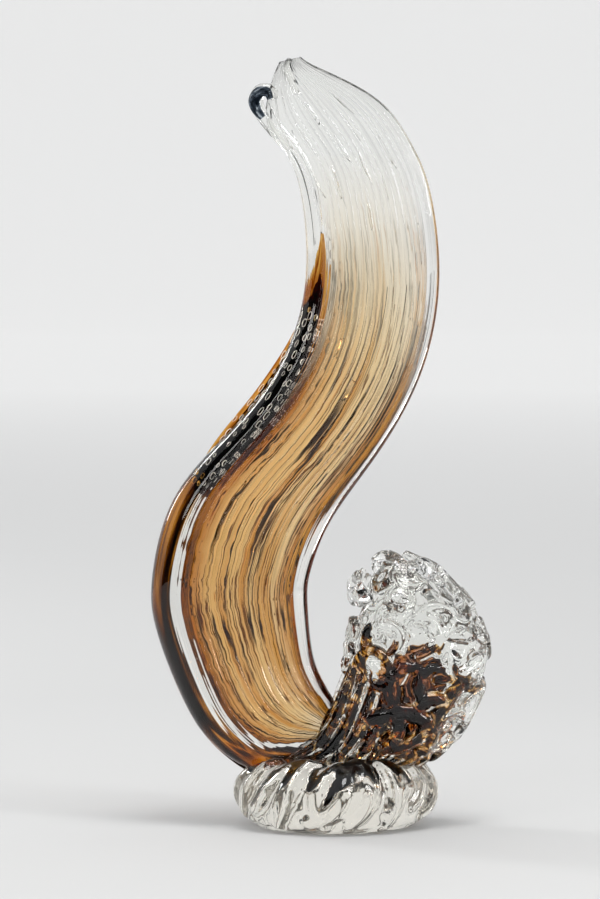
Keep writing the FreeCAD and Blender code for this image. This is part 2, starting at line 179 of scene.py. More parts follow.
def wrap_grid(name: str, around: int, along: int, place: Place, inside: bool = False) -> Piece:
    """Wrap a grid round a closed form, weld its seam and close its ends.

    Args:
        name: The piece's name.
        around: Faces round the form.
        along: Faces from end to end.
        place: Gives the point at a share of the way round and a share of the way along.
        inside: Whether the form is open at its ends and seen from within.

    Returns:
        The new piece, whose UV map runs round and along the form.
    """
    start_piece()
    bpy.ops.mesh.primitive_grid_add(x_subdivisions=around, y_subdivisions=along, size=1.0)
    piece = bpy.context.object
    piece.name = name
    for vertex in piece.data.vertices:
        vertex.co = place(vertex.co.x + HALF, vertex.co.y + HALF)
    finish_skin(inside)
    return piece


def trail(name: str, centres: Sequence[Vector], ups: Sequence[Vector], radii: Sequence[float],
          sides: int, flatness: float = 1.0) -> Piece:
    """A thread of glass along a path.

    Args:
        name: The piece's name.
        centres: Points of the path, evenly spaced.
        ups: The way that each section's flat side faces.
        radii: The thread's radius at each point.
        sides: Faces round the thread.
        flatness: The section's height along ups as a share of its width.

    Returns:
        The new piece.
    """
    last = len(centres) - 1
    asides = []
    for index in range(last + 1):
        forward = centres[min(index + 1, last)] - centres[max(index - 1, 0)]
        asides.append(forward.cross(ups[index]).normalized())

    def place(u: float, v: float) -> Vector:
        """A point of the skin."""
        index = round(v * last)
        angle = FULL_TURN * u
        rise = ups[index] * (math.sin(angle) * flatness)
        return centres[index] + (asides[index] * math.cos(angle) + rise) * radii[index]

    return wrap_grid(name, sides, last, place)


def melt(name: str, pieces: Sequence[Piece], voxel: float, smoothing: int) -> Piece:
    """Join pieces and melt them into one skin.

    Args:
        name: The new piece's name.
        pieces: Closed pieces that overlap.
        voxel: The size of the melt's grain.
        smoothing: How many times the skin is smoothed.

    Returns:
        The one piece that is left.
    """
    start_piece()
    for piece in pieces:
        piece.select_set(True)
    bpy.context.view_layer.objects.active = pieces[0]
    if len(pieces) > 1:
        bpy.ops.object.join()
    whole = bpy.context.object
    whole.name = name
    bpy.ops.object.modifier_add(type="REMESH")
    remesh = whole.modifiers[-1]
    remesh.mode = "VOXEL"
    remesh.voxel_size = voxel
    bpy.ops.object.modifier_apply(modifier=remesh.name)
    bpy.ops.object.modifier_add(type="SMOOTH")
    smooth = whole.modifiers[-1]
    smooth.factor = HALF
    smooth.iterations = smoothing
    bpy.ops.object.modifier_apply(modifier=smooth.name)
    bpy.ops.object.shade_smooth()
    return whole


def add_node(tree: Tree, kind: str, values: dict | None = None,
             links: dict | None = None) -> Node:
    """Add a node.

    Args:
        tree: The material's or the world's tree.
        kind: The node's type, without the words that all types start with.
        values: Settings by name, and values of its inputs by their names or numbers.
        links: Outputs to link, by the name or number of this node's input.

    Returns:
        The new node.
    """
    node = tree.nodes.new(f"ShaderNode{kind}")
    for key, value in (values or {}).items():
        if isinstance(key, str) and hasattr(node, key):
            setattr(node, key, value)
        else:
            node.inputs[key].default_value = value
    for key, output in (links or {}).items():
        tree.links.new(output, node.inputs[key])
    return node


def set_ramp(node: Node, stops: Stops) -> Socket:
    """Set a colour ramp's stops, each a place and a hex colour from low to high, and give the ramp's colour."""
    ramp = node.color_ramp
    while len(ramp.elements) < len(stops):
        ramp.elements.new(HALF)
    for element, (place, colour) in zip(ramp.elements, stops):
        element.position = place
        element.color = linear(colour)
    return node.outputs["Color"]


def new_material(name: str) -> tuple[Finish, Tree, Node]:
    """Start an empty material of some finish, and give it with its tree and its output node."""
    material = bpy.data.materials.new(name)
    material.use_nodes = True
    material.node_tree.nodes.clear()
    return material, material.node_tree, add_node(material.node_tree, "OutputMaterial")


def stretched_noise(tree: Tree, source: Socket, scale: Row, detail: float, swirl: float = 0.0) -> Socket:
    """Noise over a piece.

    Args:
        tree: The material's tree.
        source: The coordinates that it reads.
        scale: How many grains fit in a unit of each of them.
        detail: How fine its finest grain is.
        swirl: How much it winds.

    Returns:
        The noise.
    """
    stretch = add_node(tree, "Mapping", {"Scale": scale}, {"Vector": source})
    grain = add_node(tree, "TexNoise", {"Scale": 1.0, "Detail": detail, "Distortion": swirl},
                     {"Vector": stretch.outputs["Vector"]})
    return grain.outputs["Fac"]


def fill_glass(tree: Tree, out: Node, skin: Node, colour: str, density: float) -> None:
    """Give a glass its skin, and its depth a hex colour of some density."""
    depth = add_node(tree, "VolumeAbsorption", {"Color": linear(colour), "Density": density})
    tree.links.new(skin.outputs["BSDF"], out.inputs["Surface"])
    tree.links.new(depth.outputs["Volume"], out.inputs["Volume"])


@dataclass(frozen=True)
class FurnaceGlass:
    """Fire-polished soda-lime glass: hard, clear, with slow ripples from the tools and the heat."""

    name: str
    tint: str = "#FCFCFA"
    ior: float = 1.5
    ripple_size: float = 14 * MM
    ripple_height: float = 0.10 * MM
    depth_colour: str = "#F4F6F0"
    density: float = 6.0
    flow: Row | None = None

    def build(self) -> Finish:
        """Make the material: refraction, a fine bump and a faint tint in its depth."""
        material, tree, out = new_material(self.name)
        where = add_node(tree, "TexCoord").outputs
        source = where["UV"] if self.flow else where["Object"]
        ripple = stretched_noise(tree, source, self.flow or (1.0 / self.ripple_size,) * 3, 1.0)
        bump = add_node(tree, "Bump", {"Distance": self.ripple_height, "Strength": 1.0}, {"Height": ripple})
        glass = add_node(tree, "BsdfPrincipled", {"Base Color": linear(self.tint), "Roughness": 0.0, "IOR": self.ior,
                                                  "Transmission Weight": 1.0}, {"Normal": bump.outputs["Normal"]})
        fill_glass(tree, out, glass, self.depth_colour, self.density)
        return material


@dataclass(frozen=True)
class ColourInGlass:
    """Coloured glass sealed in clear glass: no skin of its own, colour from its depth and streaks on its face."""

    name: str
    depth_colour: str
    density: float
    streak_width: float
    streak_length: float
    stops: Stops
    swirl: float = 0.0
    detail: float = 3.0

    def build(self, width: float = 0.0, length: float = 0.0) -> Finish:
        """Make the material.

        Args:
            width: How far round the piece its UV map's first way runs, in metres, or zero for streaks that run up.
            length: How far along the piece its second way runs, in metres.

        Returns:
            The material.
        """
        material, tree, out = new_material(self.name)
        where = add_node(tree, "TexCoord").outputs
        if width:
            scale, source = (width / self.streak_width, length / self.streak_length, 1.0), where["UV"]
        else:
            scale = (1.0 / self.streak_width, 1.0 / self.streak_width, 1.0 / self.streak_length)
            source = where["Object"]
        streaks = stretched_noise(tree, source, scale, self.detail, self.swirl)
        tint = set_ramp(add_node(tree, "ValToRGB", links={"Fac": streaks}), self.stops)
        face = add_node(tree, "BsdfTransparent", links={"Color": tint})
        fill_glass(tree, out, face, self.depth_colour, self.density)
        return material


@dataclass(frozen=True)
class AmberVeil:
    """Amber glass drawn out in the wave: golden in its depth, with long dark threads, fading towards the tip."""

    name: str = "streaked_amber_glass"
    depth_colour: str = "#FADC86"
    density: float = 66.0
    width: float = 260 * MM
    length: float = 460 * MM
    grains: tuple[tuple[float, float, Stops], ...] = (
        (7.0 * MM, 330 * MM, ((0.460, "#FFFFFF"), (0.474, "#2C1A06"), (0.494, "#2C1A06"), (0.508, "#FFFFFF"))),
        (3.8 * MM, 200 * MM, ((0.460, "#FFFFFF"), (0.478, "#6E4A1C"), (0.492, "#6E4A1C"), (0.510, "#FFFFFF"))),
        (9.0 * MM, 300 * MM, ((0.36, "#E6C68E"), (0.54, "#FFFFFF"))),
        (1.4 * MM, 60 * MM, ((0.26, "#5A3A12"), (0.33, "#D0A050"), (0.37, "#FFFFFF"))),
    )
    edges: Stops = (
        (0.0, "#6E4410"), (0.06, "#9A681C"), (0.10, "#D2A450"), (0.16, "#FFFFFF"), (0.36, "#FFFFFF"),
        (0.42, "#E0AE58"), (0.46, "#B47C28"), (0.495, "#8A5A18"), (0.505, "#FFFFFF"),
    )
    fade_from: float = 0.70
    fade_to: float = 0.90
    finger: float = 0.36

    def build(self) -> Finish:
        """Make the material: threads of several widths, deeper edges, and a fade in fingers."""
        material, tree, out = new_material(self.name)
        where = add_node(tree, "TexCoord").outputs["UV"]
        across, along, _ = add_node(tree, "SeparateXYZ", links={"Vector": where}).outputs
        colour, threads = set_ramp(add_node(tree, "ValToRGB", links={"Fac": across}), self.edges), None
        for width, length, stops in self.grains:
            threads = stretched_noise(tree, where, (self.width / width, self.length / length, 1.0), 2.0)
            tint = set_ramp(add_node(tree, "ValToRGB", links={"Fac": threads}), stops)
            colour = add_node(tree, "Mix", {"data_type": "RGBA", "blend_type": "MULTIPLY", 0: 1.0},
                              {6: colour, 7: tint}).outputs[2]
        height = add_node(tree, "Math", {"operation": "MULTIPLY_ADD", 1: self.finger}, {0: threads, 2: along})
        rear = add_node(tree, "Math", {"operation": "GREATER_THAN", 1: HALF}, {0: across})
        fade = add_node(tree, "MapRange", {"From Min": self.fade_from + HALF * self.finger,
                                           "From Max": self.fade_to + HALF * self.finger},
                        {"Value": height.outputs["Value"]})
        clear = add_node(tree, "Math", {"operation": "MAXIMUM"},
                         {0: fade.outputs["Result"], 1: rear.outputs["Value"]})
        faded = add_node(tree, "Mix", {"data_type": "RGBA", 7: linear("#FFFFFF")},
                         {0: clear.outputs["Value"], 6: colour})
        face = add_node(tree, "BsdfTransparent", links={"Color": faded.outputs[2]})
        fill_glass(tree, out, face, self.depth_colour, self.density)
        return material


@dataclass(frozen=True)
class BubbleSkin:
    """Small long bubbles over dark glass: clear in the middle, with a painted highlight in place of the pale rim that
    a curved skin of air throws: the rim turns pale and glows by itself where the face turns away from the camera.
    """

    name: str = "air_with_painted_rim"
    # The colour of the pale rim, a painted highlight, which is also the colour of its glow.
    colour: str = "#F6F1E6"
    # How bright the rim's painted glow is: light that no lamp gives.
    painted_glow: float = 1.0
    roughness: float = 0.2
    # Where the painted highlight on the rim starts and where it is full, by how far the face turns away from the
    # camera.
    painted_rim_from: float = 0.30
    painted_rim_to: float = 0.58

    def build(self) -> Finish:
        """Make the material: a clear skin, mixed at the rim into pale paint that glows by itself, as a painted
        highlight.
        """
        material, tree, out = new_material(self.name)
        # The rim is found by how squarely each face looks at the camera, and is painted pale there as a highlight.
        weight = add_node(tree, "LayerWeight", {"Blend": 0.5})
        rim = add_node(tree, "MapRange", {"From Min": self.painted_rim_from, "From Max": self.painted_rim_to},
                       {"Value": weight.outputs["Facing"]})
        clear = add_node(tree, "BsdfTransparent", {"Color": linear("#E8E0D0")})
        # The painted highlight: pale paint that also glows by itself.
        pale = add_node(tree, "BsdfPrincipled",
                        {"Base Color": linear(self.colour), "Roughness": self.roughness,
                         "Emission Color": linear(self.colour), "Emission Strength": self.painted_glow})
        mix = add_node(tree, "MixShader",
                       links={0: rim.outputs["Result"], 1: clear.outputs["BSDF"], 2: pale.outputs["BSDF"]})
        tree.links.new(mix.outputs["Shader"], out.inputs["Surface"])
        return material


@dataclass(frozen=True)
class TrappedAir:
    """Air trapped in glass: its skin bends light the other way, so its rim flashes and its middle is clear."""

    name: str = "trapped_air"
    ior: float = 0.667

    def build(self) -> Finish:
        """Make the material."""
        material, tree, out = new_material(self.name)
        skin = add_node(tree, "BsdfGlass", {"Color": linear("#FFFFFF"), "Roughness": 0.0, "IOR": self.ior})
        tree.links.new(skin.outputs["BSDF"], out.inputs["Surface"])
        return material


@dataclass(frozen=True)
class PaleStudio:
    """Matt pale paint of the floor and the backdrop."""

    name: str = "matt_studio_paint"
    colour: str = "#CECECD"
    glow_colour: str = "#FFFFFF"
    glow: float = 0.34
    glow_from: float = 0.8
    glow_to: float = 5.0
    grain: float = 60 * MM
    relief: float = 0.1 * MM
    relief_strength: float = 0.2
    roughness: float = 0.8

    def build(self) -> Finish:
        """Make the material."""
        material, tree, out = new_material(self.name)
        where = add_node(tree, "TexCoord")
        grain = add_node(tree, "TexNoise", {"Scale": 1.0 / self.grain, "Detail": 2.0},
                         {"Vector": where.outputs["Object"]})
        bump = add_node(tree, "Bump", {"Distance": self.relief, "Strength": self.relief_strength},
                        {"Height": grain.outputs["Fac"]})
        reach = add_node(tree, "VectorMath", {"operation": "LENGTH"}, {0: where.outputs["Object"]})
        glow = add_node(tree, "MapRange",
                        {"From Min": self.glow_from, "From Max": self.glow_to, "To Max": self.glow},
                        {"Value": reach.outputs["Value"]})
        paint = add_node(tree, "BsdfPrincipled",
                         {"Base Color": linear(self.colour), "Roughness": self.roughness,
                          "Emission Color": linear(self.glow_colour)},
                         {"Normal": bump.outputs["Normal"], "Emission Strength": glow.outputs["Result"]})
        tree.links.new(paint.outputs["BSDF"], out.inputs["Surface"])
        return material


def dress(piece: Piece, material: Finish, slot: Slot, *nodes: str) -> None:
    """Give a piece its finish and its place in the frame.

    Args:
        piece: The finished piece.
        material: Its only material.
        slot: The record's slot that the finish belongs to; not used.
        nodes: The solids that it stands for.
    """
    piece.data.materials.clear()
    piece.data.materials.append(material)
    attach(piece, BODY)
    if nodes:
        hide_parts(*nodes)
    log.info("%s: %d faces", piece.name, len(piece.data.polygons))


# The wave's outline, station by station from the foot to the tip: the outer edge's x and z and the inner edge's
# x and z, as shares of the wave's span and height, and the thickness as a share of its thickest.
WAVE_SHARES = (
    (0.020, 0.010, 0.072, 0.060, 0.52), (-0.059, 0.006, 0.034, 0.075, 0.80),
    (-0.172, 0.000, 0.000, 0.101, 0.92), (-0.293, 0.007, -0.031, 0.122, 1.00),
    (-0.403, 0.035, -0.062, 0.147, 1.00), (-0.500, 0.081, -0.083, 0.176, 1.00),
    (-0.624, 0.205, -0.097, 0.247, 1.00), (-0.638, 0.271, -0.090, 0.280, 1.00),
    (-0.562, 0.393, -0.017, 0.358, 0.98), (-0.345, 0.487, 0.148, 0.447, 0.94),
    (-0.176, 0.580, 0.300, 0.558, 0.82), (-0.097, 0.691, 0.362, 0.687, 0.66),
    (-0.121, 0.819, 0.324, 0.819, 0.52), (-0.176, 0.870, 0.262, 0.877, 0.46),
    (-0.238, 0.905, 0.176, 0.930, 0.41), (-0.238, 0.934, 0.052, 0.963, 0.35),
    (-0.217, 0.969, -0.086, 0.988, 0.26), (-0.193, 0.991, -0.120, 0.998, 0.14),
)

# The amber layer: the station, its two edges as shares of the wave's width there, and its fullness.
AMBER_SHARES = (
    (1.6, 0.56, 0.80, 0.20), (2.0, 0.46, 0.85, 0.45), (3.0, 0.31, 0.88, 0.80),
    (4.0, 0.235, 0.895, 0.95), (5.0, 0.215, 0.90, 1.00), (6.0, 0.195, 0.90, 1.00),
    (7.0, 0.180, 0.905, 1.00), (8.0, 0.175, 0.925, 1.00), (9.0, 0.20, 0.94, 0.96),
    (9.8, 0.20, 0.94, 0.88), (10.4, 0.19, 0.93, 0.72), (11.0, 0.17, 0.91, 0.46),
    (11.6, 0.15, 0.89, 0.22), (12.2, 0.14, 0.87, 0.08), (12.8, 0.15, 0.84, 0.02),
)

# The canes: the station, how deep the cane lies under the outer edge as a share of the wave's width, and its
# radius as a share of the cane's own.
BUBBLE_CANE_SHARES = (
    (8.05, 0.150, 0.30), (8.35, 0.130, 0.86), (8.80, 0.112, 1.05), (9.30, 0.100, 1.04),
    (9.80, 0.092, 0.94), (10.30, 0.098, 0.76), (10.60, 0.107, 0.50), (10.85, 0.115, 0.28),
    (11.05, 0.121, 0.06),
)
SHEATH_SHARES = BUBBLE_CANE_SHARES[:6] + (
    (10.70, 0.110, 0.56), (11.00, 0.119, 0.42), (11.30, 0.127, 0.22), (11.50, 0.131, 0.04),
)
RIM_CANE_SHARES = (
    (0.90, 0.300, 0.40), (1.40, 0.210, 1.15), (2.20, 0.140, 1.60), (3.00, 0.105, 1.40),
    (3.80, 0.088, 1.15), (4.60, 0.078, 1.02), (5.40, 0.073, 0.96), (6.20, 0.072, 0.95),
    (7.00, 0.072, 0.98), (7.60, 0.074, 1.04), (8.20, 0.076, 0.98), (8.80, 0.070, 0.62),
    (9.30, 0.064, 0.34), (9.80, 0.062, 0.06),
)

# A long tunnel of air drawn up the neck of the wave, in the same form as the canes.
TUNNEL_SHARES = (
    (11.50, 0.130, 0.10), (11.80, 0.125, 0.60), (12.30, 0.118, 0.95), (12.90, 0.110, 1.00),
    (13.50, 0.105, 0.80), (14.00, 0.105, 0.40), (14.30, 0.110, 0.10),
)

# Thin bubbles in the flow: the station, the place across and the length as a share of the wave's height.
FLOW_BUBBLE_SHARES = (
    (15.3, 0.52, 0.060), (15.0, 0.20, 0.030), (14.4, 0.70, 0.050), (13.2, 0.33, 0.045), (12.5, 0.55, 0.060),
    (14.6, 0.12, 0.050), (13.9, 0.10, 0.075), (13.3, 0.22, 0.060), (12.6, 0.13, 0.110), (12.2, 0.30, 0.050),
    (13.0, 0.45, 0.045), (13.6, 0.62, 0.050), (12.9, 0.78, 0.060), (12.1, 0.66, 0.035), (11.7, 0.50, 0.040),
    (14.2, 0.40, 0.040), (11.4, 0.86, 0.060), (10.6, 0.72, 0.030), (9.7, 0.55, 0.035), (8.7, 0.66, 0.030),
    (8.2, 0.36, 0.030), (7.3, 0.60, 0.028), (6.6, 0.44, 0.030), (5.8, 0.70, 0.026), (10.2, 0.36, 0.032),
)

# The curled lip, the horn and the smoke-grey bead of the tip, point by point in millimetres.
TIP_LIP = ((-30, -10, 438), (-38, -11, 448), (-46, -12, 459), (-51, -12, 468), (-49, -12, 476), (-42, -12, 477),
           (-38, -12, 471))
TIP_HORN = ((-24, -11, 474), (-29, -12, 484), (-31, -12, 492), (-29, -12, 497))
TIP_BEAD = ((-47, -15, 459), (-51, -15, 464), (-52.5, -15, 470), (-49.5, -15, 475), (-44, -15, 475.5),
            (-42, -15, 471))


def hand_drawn(name: str, points: Sequence[Row], girth: float, sides: int = 12, steps: int = 24) -> Piece:
    """A thread of glass drawn through given points, thin at both ends.

    Args:
        name: The piece's name.
        points: Its path, in millimetres.
        girth: Its greatest radius.
        sides: Faces round it.
        steps: Faces along it.

    Returns:
        The piece.
    """
    centres, ups, radii = [], [], []
    for step in range(steps + 1):
        s = step / steps
        centres.append(Vector(blend_rows(points, s * (len(points) - 1))) * MM)
        ups.append(Vector((0.0, math.copysign(1.0, points[0][1]), 0.0)))
        radii.append(girth * (0.4 + 0.6 * math.sin(math.pi * (0.08 + 0.84 * s))))
    return trail(name, centres, ups, radii, sides)


def bubble_group(name: str, spots: Sequence[tuple[Vector, Vector, float, float]]) -> Piece:
    """Long bubbles as one piece.

    Args:
        name: The piece's name.
        spots: Each bubble's middle, the way it is drawn out, its half width and its half length.

    Returns:
        The piece.
    """
    start_piece()
    bpy.ops.mesh.primitive_ico_sphere_add(subdivisions=2, radius=1.0)
    piece = bpy.context.object
    corners = [vertex.co.copy() for vertex in piece.data.vertices]
    faces = [tuple(face.vertices) for face in piece.data.polygons]
    places, outlines = [], []
    for centre, forward, girth, length in spots:
        aside = forward.cross(FRONT).normalized()
        facing = forward.cross(aside)
        first = len(places)
        places += [tuple(centre + forward * (corner.x * length) + aside * (corner.y * girth)
                         + facing * (corner.z * girth)) for corner in corners]
        outlines += [tuple(first + corner for corner in face) for face in faces]
    mesh = bpy.data.meshes.new(name)
    mesh.from_pydata(places, [], outlines)
    piece.data = mesh
    piece.name = name
    finish_skin()
    return piece


@dataclass
class Wave:
    """The S-shaped wave: clear fluted glass over an amber layer and two dark canes."""

    span: float = 188 * MM
    height: float = 466 * MM
    thickness: float = 46 * MM
    seat: float = 33 * MM
    lean: float = 14 * MM
    softening: float = 0.55
    roundness: float = 3.2
    fullness: float = 0.51
    thinning: float = 0.25
    thinning_power: float = 1.5
    back_ripple: float = 0.8 * MM
    rib_left: tuple[float, float] = (0.12, 0.20)
    rib_right: tuple[float, float] = (0.90, 0.97)
    rib_start: tuple[float, float] = (2.6, 4.4)
    rib_end: tuple[float, float] = (13.0, 17.0)
    rib_wander: float = 0.006
    rib_count: int = 21
    rib_depth: float = 1.25 * MM
    fine_count: int = 61
    fine_depth: float = 0.32 * MM
    front_share: float = 0.72
    around: int = 300
    along: int = 210
    amber_cover: float = 3.0 * MM
    amber_around: int = 160
    amber_along: int = 200
    bubble_cane_radius: float = 8.8 * MM
    rim_cane_radius: float = 6.9 * MM
    cane_girth: float = 50 * MM
    sheath_girth: float = 60 * MM
    cane_length: float = 190 * MM
    rim_girth: float = 40 * MM
    rim_length: float = 520 * MM
    cane_steps: int = 90
    rim_steps: int = 160
    sheath: float = 1.30
    bubble_pitch: float = 7.4 * MM
    bubble_columns: tuple[float, ...] = (-0.86, -0.43, 0.0, 0.43, 0.86)
    bubble_girth: tuple[float, float] = (0.7, 1.1)
    bubble_stretch: tuple[float, float] = (2.1, 3.2)
    tunnel_radius: float = 2.4 * MM
    lip_girth: float = 4.6 * MM
    horn_girth: float = 3.0 * MM
    lip_voxel: float = 0.7 * MM

    def place(self, x_share: float, z_share: float) -> Vector:
        """A point of the middle plane, which leans forwards towards the tip."""
        return Vector((x_share * self.span, -self.lean * z_share ** 3, self.seat + z_share * self.height))

    def station(self, position: float) -> tuple[Vector, Vector, float]:
        """The outer edge, the way across and the thickness at a station."""
        spans, last = self.spans(), len(WAVE_SHARES) - 1
        reach = min(self.softening, position, last - position)
        rows = [blend_spaced(WAVE_SHARES, spans, position + reach * step) for step in (-1.0, -0.5, 0.0, 0.5, 1.0)]
        row = [sum(weight * value for weight, value in zip((0.12, 0.24, 0.28, 0.24, 0.12), column))
               for column in zip(*rows)]
        outer = self.place(row[0], row[1])
        return outer, self.place(row[2], row[3]) - outer, row[4] * self.thickness

    def spans(self) -> list[float]:
        """How far the wave's middle runs from each station to the next."""
        middles = [self.place(HALF * (row[0] + row[2]), HALF * (row[1] + row[3])) for row in WAVE_SHARES]
        return [(end - start).length for start, end in zip(middles, middles[1:])]

    def half_depth_share(self, u: float) -> float:
        """Half the section's depth at a share of the way across, as a share of the thickness."""
        side = abs(2.0 * u - 1.0)
        fullness = self.fullness - self.thinning * u ** self.thinning_power
        return fullness * max(1.0 - side ** self.roundness, 0.0) ** (1.0 / self.roundness)

    def rib(self, u: float, t: float) -> float:
        """How far the tooled furrows sink the front at a place across and a station."""
        window = ease(u, *self.rib_left) * (1.0 - ease(u, *self.rib_right))
        window *= ease(t, *self.rib_start) * (1.0 - 0.3 * ease(t, *self.rib_end))
        wander = self.rib_wander * noise.noise(Vector((u * 4.0, t * 0.25, 1.7)))
        broad = (u + wander) * self.rib_count
        fine = (u + wander) * self.fine_count
        strength = 0.75 + 0.7 * noise.noise(Vector((math.floor(broad) * 3.1, t * 0.25, 9.2)))
        furrow = 1.0 - abs(math.sin(math.pi * broad))
        thread = 1.0 - abs(math.sin(math.pi * fine))
        return window * (self.rib_depth * strength * furrow ** 1.6 + self.fine_depth * thread)

    def skin(self, p: float, t: float, outer: Vector, across: Vector, thickness: float) -> Vector:
        """A point of the wave's skin.

        Args:
            p: The share of the way round: the front first, from the outer edge, then the back.
            t: The station.
            outer: The outer edge there.
            across: The way across there.
            thickness: The thickness there.

        Returns:
            The point.
        """
        front = p < self.front_share
        turn = p / self.front_share if front else 1.0 + (p - self.front_share) / (1.0 - self.front_share)
        u = HALF * (1.0 - math.cos(math.pi * turn))
        depth = self.half_depth_share(u) * thickness
        point = outer + across * u
        if front:
            return point - Vector((0.0, depth - self.rib(u, t), 0.0))
        wave = self.back_ripple * noise.noise(Vector((u * 3.0, t * 0.8, 4.4)))
        return point + Vector((0.0, depth + wave * math.sin(math.pi * u), 0.0))

    def build_glass(self) -> Piece:
        """The clear glass, with its flutes."""
        stations = {}

        def place(p: float, v: float) -> Vector:
            """A point of the skin."""
            t = v * (len(WAVE_SHARES) - 1)
            key = round(v * self.along)
            if key not in stations:
                stations[key] = self.station(t)
            return self.skin(p, t, *stations[key])

        return wrap_grid("wave_glass", self.around, self.along, place)

    def build_amber(self) -> Piece:
        """The amber layer, which thins out to nothing towards the tip."""
        first, last = AMBER_SHARES[0][0], AMBER_SHARES[-1][0]

        def place(p: float, v: float) -> Vector:
            """A point of the skin."""
            t = first + (last - first) * v
            low, high, fullness = blend_keyed(AMBER_SHARES, t)
            low += 0.012 * noise.noise(Vector((t * 6.0, 2.0, 0.0))) + 0.006 * noise.noise(Vector((t * 23.0, 5.0, 0.0)))
            high += 0.004 * noise.noise(Vector((t * 9.0, 7.0, 0.0)))
            outer, across, thickness = self.station(t)
            side = -math.cos(FULL_TURN * p)
            u = low + (high - low) * HALF * (1.0 + side)
            room = self.half_depth_share(u) * thickness - self.amber_cover
            bulge = max(1.0 - abs(side) ** 6.0, 0.0) ** HALF
            front = -bulge * room
            depth = front if p < HALF else front + bulge * room * 2.0 * max(fullness, 0.01)
            return outer + across * u + Vector((0.0, depth, 0.0))

        return wrap_grid("amber_layer", self.amber_around, self.amber_along, place)

    def cane_path(self, rows: Sequence[Row], radius: float, steps: int) -> tuple[list, list]:
        """The middle and the radius of a cane at even steps."""
        first, last = rows[0][0], rows[-1][0]
        centres, radii = [], []
        for step in range(steps + 1):
            t = first + (last - first) * step / steps
            deeper, girth = blend_keyed(rows, t)
            outer, across, _ = self.station(t)
            centres.append(outer + across * deeper)
            radii.append(max(girth, 0.03) * radius)
        return centres, radii

    def build_cane(self, name: str, rows: Sequence[Row], radius: float, steps: int, flatness: float = 0.8,
                   sides: int = 28) -> Piece:
        """A cane of colour or a tunnel of air under the outer edge.

        Args:
            name: The piece's name.
            rows: Its course.
            radius: The radius that its rows give shares of.
            steps: Faces along it.
            flatness: Its thickness as a share of its width.
            sides: Faces round it.

        Returns:
            The piece.
        """
        centres, radii = self.cane_path(rows, radius, steps)
        return trail(name, centres, [FRONT] * len(centres), radii, sides, flatness)

    def build_bubbles(self, rng: random.Random) -> Piece:
        """Long bubbles of air on the front of the upper cane."""
        centres, radii = self.cane_path(BUBBLE_CANE_SHARES, self.bubble_cane_radius, self.cane_steps)
        first, last = 3, len(centres) - 10
        stride = (centres[1] - centres[0]).length
        rows = int(stride * (last - first - 1) / self.bubble_pitch)
        spots = []
        for row in range(rows):
            for column in self.bubble_columns:
                shift = HALF * (row % 2) * (self.bubble_columns[1] - self.bubble_columns[0])
                angle = column + shift - 0.1 + rng.uniform(-0.13, 0.13)
                index = first + round((row + rng.uniform(-0.35, 0.35)) * self.bubble_pitch / stride)
                index = min(max(index, first), last)
                forward = (centres[index + 1] - centres[index - 1]).normalized()
                aside = forward.cross(FRONT).normalized()
                out = aside * math.sin(angle) + Vector((0.0, -0.8, 0.0)) * math.cos(angle)
                girth = rng.uniform(*self.bubble_girth) * MM * min(1.0, radii[index] / (5.0 * MM))
                spots.append((centres[index] + out * (radii[index] * self.sheath + girth), forward, girth,
                              girth * rng.uniform(*self.bubble_stretch)))
        return bubble_group("cane_bubbles", spots)

    def build_flow_bubbles(self, rng: random.Random) -> Piece:
        """Thin drawn-out bubbles that follow the flow through the clear glass and the amber."""
        spots = []
        for t, u, length in FLOW_BUBBLE_SHARES:
            outer, across, thickness = self.station(t)
            ahead, ahead_across, _ = self.station(t + 0.1)
            forward = (ahead + ahead_across * u - outer - across * u).normalized()
            depth = self.half_depth_share(u) * thickness * rng.uniform(0.45, 0.75)
            spots.append((outer + across * u - Vector((0.0, depth, 0.0)), forward, rng.uniform(0.5, 0.9) * MM,
                          HALF * length * self.height))
        return bubble_group("flow_bubbles", spots)

    def build_lips(self) -> Piece:
        """The curled lip at the left of the tip and the drawn-out horn on top, in clear glass."""
        pieces = [hand_drawn(f"lip_{index}", points, girth, 16, 30)
                  for index, (points, girth) in enumerate(((TIP_LIP, self.lip_girth), (TIP_HORN, self.horn_girth)))]
        return melt("tip_lips", pieces, self.lip_voxel, 2)

    def build(self, rng: random.Random) -> None:
        """Build and dress every piece of the wave."""
        dress(self.build_glass(), CLEAR_GLASS.build(), Slot.CLEAR, "wave_casing")
        dress(self.build_lips(), LIP_GLASS.build(), Slot.CLEAR)
        dress(self.build_amber(), AMBER_LAYER.build(), Slot.AMBER, "amber_core")
        dress(self.build_cane("upper_dark_cane", BUBBLE_CANE_SHARES, self.bubble_cane_radius, self.cane_steps),
              BLACK_CANE.build(self.cane_girth, self.cane_length), Slot.DARK, "bubble_cane")
        dress(self.build_cane("golden_sheath", SHEATH_SHARES, self.bubble_cane_radius * self.sheath, self.cane_steps),
              GOLD_SHEATH.build(self.sheath_girth, self.cane_length), Slot.AMBER)
        dress(self.build_cane("lower_rim_cane", RIM_CANE_SHARES, self.rim_cane_radius, self.rim_steps, flatness=1.25),
              RIM_CANE.build(self.rim_girth, self.rim_length), Slot.DARK, "rim_cane")
        dress(self.build_bubbles(rng), BUBBLE_SKIN.build(), Slot.DARK)
        air = AIR.build()
        dress(self.build_flow_bubbles(rng), air, Slot.CLEAR)
        dress(self.build_cane("neck_tunnel", TUNNEL_SHARES, self.tunnel_radius, 60, sides=16), air, Slot.CLEAR)


